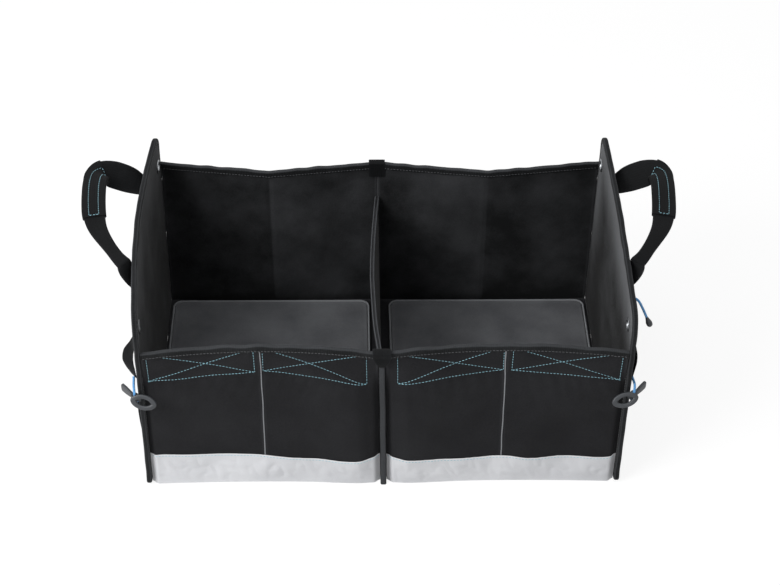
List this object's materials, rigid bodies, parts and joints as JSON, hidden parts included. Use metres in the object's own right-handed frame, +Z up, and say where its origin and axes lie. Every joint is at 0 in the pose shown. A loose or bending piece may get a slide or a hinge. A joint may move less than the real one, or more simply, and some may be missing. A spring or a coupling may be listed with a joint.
{
  "type": "car storage box",
  "caption": "Fold-flat cloth storage box for a car boot, with a divider, stiff end panels, webbing handles and corner hooks.",
  "frame": {"origin": "on the ground under the middle of the box, handles and hooks counted", "axes": "+X along the box to the right end, +Y to the back wall, +Z up; the front wall faces -Y"},
  "size_m": [0.8028, 0.4106, 0.3213],
  "materials": {
    "black_cloth": "coated woven",
    "wall_cloth": "smooth coated",
    "grey_lining": "smooth coated",
    "grey_board_cloth": "coated woven",
    "black_tape": "ribbed tape",
    "light_grey_band": "smooth coated",
    "grey_piping": "piping",
    "black_webbing": "ribbed webbing",
    "eyelet_metal": "dark plated",
    "hook_plastic": "satin",
    "blue_elastic": "braided elastic"
  },
  "bodies": {
    "box": {"base_sheet": "black_cloth", "floor_board_left": "grey_board_cloth", "floor_board_right": "grey_board_cloth", "floor_piping_left": "grey_piping", "floor_piping_right": "grey_piping", "end_panel_left": "black_cloth", "end_panel_right": "black_cloth", "end_lining_left": "grey_lining", "end_lining_right": "grey_lining", "end_binding_left": "black_tape", "end_binding_right": "black_tape", "eyelet_front_left": "eyelet_metal", "eyelet_front_right": "eyelet_metal", "eyelet_rear_left": "eyelet_metal", "eyelet_rear_right": "eyelet_metal", "back_wall_left": "wall_cloth", "back_wall_right": "wall_cloth", "back_binding_left": "black_tape", "back_binding_right": "black_tape", "back_tab": "black_webbing", "divider_panel": "wall_cloth", "divider_front_binding": "black_tape", "divider_top_binding": "black_tape", "front_panel_inner_left": "black_cloth", "front_panel_inner_right": "black_cloth", "front_panel_outer_left": "black_cloth", "front_panel_outer_right": "black_cloth", "front_band_left": "light_grey_band", "front_band_right": "light_grey_band", "front_binding_left": "black_tape", "front_binding_right": "black_tape", "front_piping_left": "grey_piping", "front_piping_right": "grey_piping", "front_tab": "black_webbing", "handle_strap_left": "black_webbing", "handle_strap_right": "black_webbing", "handle_grip_left": "black_webbing", "handle_grip_right": "black_webbing", "side_strap_left": "black_webbing", "side_strap_right": "black_webbing", "lower_strap_left": "black_webbing", "lower_strap_right": "black_webbing", "hook_loop_left": "blue_elastic", "hook_loop_right": "blue_elastic", "elastic_cord": "blue_elastic", "cord_toggle": "hook_plastic"},
    "hook_left": {"hook_left": "hook_plastic"},
    "hook_right": {"hook_right": "hook_plastic"}
  },
  "joints": [
    {"name": "hook_right_swing", "type": "hinge", "parent": "box", "child": "hook_right", "pos_m": [0.32773, -0.19417, 0.168], "axis": [0, 0, 1], "range_deg": [0, 38]},
    {"name": "hook_left_swing", "type": "hinge", "parent": "box", "child": "hook_left", "pos_m": [-0.32027, -0.19417, 0.168], "axis": [0, 0, -1], "range_deg": [0, 38]}
  ]
}
